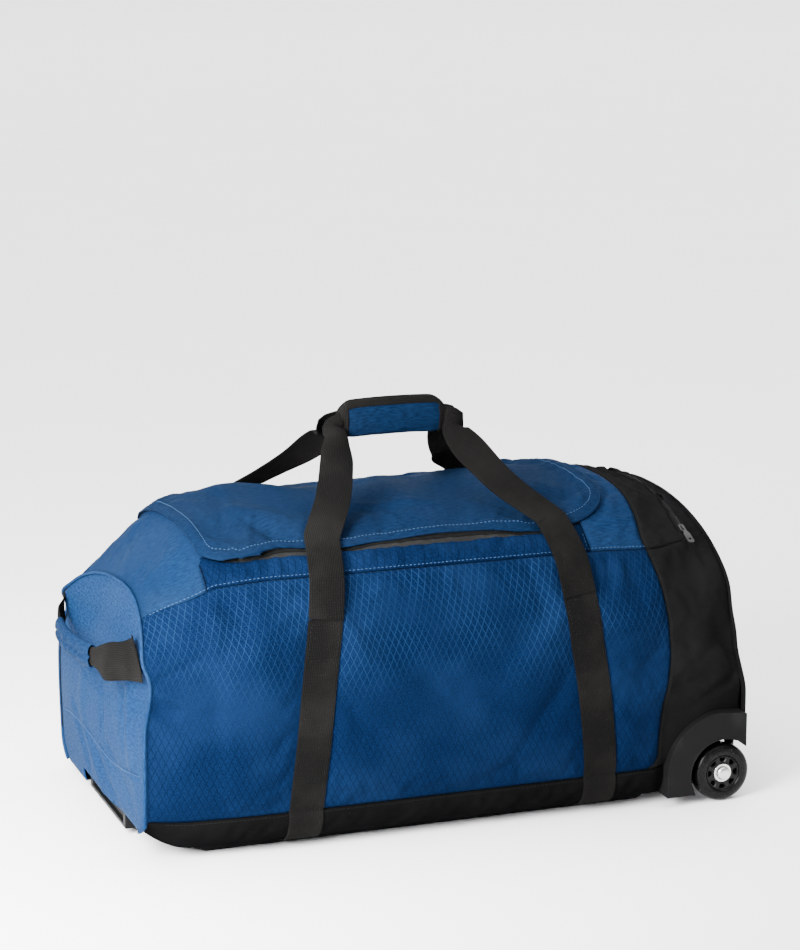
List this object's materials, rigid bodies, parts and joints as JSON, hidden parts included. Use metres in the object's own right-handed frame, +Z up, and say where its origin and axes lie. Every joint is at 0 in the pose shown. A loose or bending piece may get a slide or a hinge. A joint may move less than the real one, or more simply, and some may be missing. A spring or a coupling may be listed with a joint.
{
  "type": "rolling duffel bag",
  "caption": "Soft wheeled duffel bag lying on its base, with a U-shaped lid, carry loops, end grab handle and telescopic trolley handle.",
  "frame": {"origin": "on the ground under the middle of the bag's bounding box, the bag lying on its base", "axes": "+X along the bag towards the wheels, -Y the long front side, +Z up"},
  "size_m": [0.7834, 0.4228, 0.468],
  "materials": {
    "ripstop_blue": "coated blue ripstop with a diamond grid",
    "plain_blue": "plain-weave blue polyester",
    "black_fabric": "coated black polyester",
    "lining_grey": "thin grey lining",
    "webbing_black": "ribbed black webbing",
    "zip_tape": "black zip tape",
    "moulded_plastic": "fine-textured black plastic",
    "tyre": "smooth glossy black polyurethane",
    "hub_plastic": "satin black plastic",
    "steel": "bright zinc-plated steel",
    "aluminium_tube": "satin anodised aluminium",
    "zip_metal": "black-lacquered zinc"
  },
  "bodies": {
    "bag": {"back_axle": "steel", "back_axle_bracket": "steel", "back_band": "black_fabric", "back_gusset": "ripstop_blue", "back_hood": "black_fabric", "back_panel": "ripstop_blue", "back_skid_rail": "moulded_plastic", "back_wheel_housing": "moulded_plastic", "base_board": "moulded_plastic", "bottom_panel": "black_fabric", "front_axle": "steel", "front_axle_bracket": "steel", "front_band": "black_fabric", "front_gusset": "ripstop_blue", "front_hood": "black_fabric", "front_panel": "ripstop_blue", "front_skid_rail": "moulded_plastic", "front_wheel_housing": "moulded_plastic", "grab_handle_back_tab": "webbing_black", "grab_handle_front_tab": "webbing_black", "hood_bridge": "black_fabric", "kick_plate": "moulded_plastic", "left_end_panel": "plain_blue", "left_lower_strap": "webbing_black", "left_slope_panel": "plain_blue", "main_zip_tape": "zip_tape", "pocket_panel": "black_fabric", "pocket_partition": "lining_grey", "pocket_zip_tape": "zip_tape", "right_end_panel": "black_fabric", "right_lower_strap": "webbing_black", "right_top_panel": "plain_blue", "trolley_bezel": "moulded_plastic", "trolley_bracket": "moulded_plastic", "trolley_outer_tube_back": "aluminium_tube", "trolley_outer_tube_front": "aluminium_tube"},
    "lid": {"lid_panel": "plain_blue", "lid_lining": "lining_grey", "lid_zip_tape": "zip_tape"},
    "front_loop": {"front_carry_strap": "webbing_black", "front_grip_half": "ripstop_blue"},
    "back_loop": {"back_carry_strap": "webbing_black", "back_grip_half": "ripstop_blue"},
    "grab_handle": {"grab_handle_webbing": "webbing_black", "grab_handle_sleeve": "ripstop_blue"},
    "trolley_middle": {"trolley_middle_tube_front": "aluminium_tube", "trolley_middle_tube_back": "aluminium_tube"},
    "trolley_inner": {"trolley_inner_tube_front": "aluminium_tube", "trolley_inner_tube_back": "aluminium_tube", "trolley_grip": "moulded_plastic"},
    "trolley_button": {"trolley_button": "hub_plastic"},
    "front_wheel": {"front_tyre": "tyre", "front_hub": "hub_plastic", "front_wheel_bearing": "steel"},
    "back_wheel": {"back_tyre": "tyre", "back_hub": "hub_plastic", "back_wheel_bearing": "steel"},
    "main_slider": {"main_zip_slider": "zip_metal"},
    "pocket_slider": {"pocket_zip_slider": "zip_metal"},
    "pocket_pull": {"pocket_zip_pull": "zip_metal"}
  },
  "joints": [
    {"name": "lid_open", "type": "hinge", "parent": "bag", "child": "lid", "pos_m": [0, 0.14167, 0.33537], "axis": [-1, 0, 0], "range_deg": [0, 85]},
    {"name": "front_loop_fold", "type": "hinge", "parent": "bag", "child": "front_loop", "pos_m": [0, -0.20022, 0.26484], "axis": [1, 0, 0], "range_deg": [0, 153.5]},
    {"name": "back_loop_fold", "type": "hinge", "parent": "bag", "child": "back_loop", "pos_m": [0, 0.20022, 0.26484], "axis": [-1, 0, 0], "range_deg": [0, 153.5]},
    {"name": "grab_handle_lift", "type": "hinge", "parent": "bag", "child": "grab_handle", "pos_m": [-0.356, 0, 0.236], "axis": [0, 1, 0], "range_deg": [0, 40]},
    {"name": "trolley_middle_slide", "type": "slide", "parent": "bag", "child": "trolley_middle", "axis": [-1, 0, 0], "range_m": [0, 0.21]},
    {"name": "trolley_inner_slide", "type": "slide", "parent": "trolley_middle", "child": "trolley_inner", "axis": [-1, 0, 0], "range_m": [0, 0.21]},
    {"name": "trolley_button_press", "type": "slide", "parent": "trolley_inner", "child": "trolley_button", "axis": [1, 0, 0], "range_m": [0, 0.0015], "stiffness_N_per_m": 300},
    {"name": "front_wheel_spin", "type": "hinge", "parent": "bag", "child": "front_wheel", "pos_m": [0.334, -0.1945, 0.035], "axis": [0, 1, 0], "continuous": true},
    {"name": "back_wheel_spin", "type": "hinge", "parent": "bag", "child": "back_wheel", "pos_m": [0.334, 0.1945, 0.035], "axis": [0, 1, 0], "continuous": true},
    {"name": "main_slider_slide", "type": "slide", "parent": "bag", "child": "main_slider", "axis": [-1, 0, 0], "range_m": [0, 0.32]},
    {"name": "pocket_slider_slide", "type": "hinge", "parent": "bag", "child": "pocket_slider", "pos_m": [0.305, 0, 0.0228], "axis": [-1, 0, 0], "range_deg": [0, 51]},
    {"name": "pocket_pull_swing", "type": "hinge", "parent": "pocket_slider", "child": "pocket_pull", "pos_m": [0.305, -0.1476, 0.31646], "axis": [-1, 0, 0], "range_deg": [0, 120]}
  ],
  "couplings": [
    {"joint": "front_loop_fold", "follows": "lid_open", "ratio": 1.8},
    {"joint": "back_loop_fold", "follows": "lid_open", "ratio": 1.8}
  ]
}
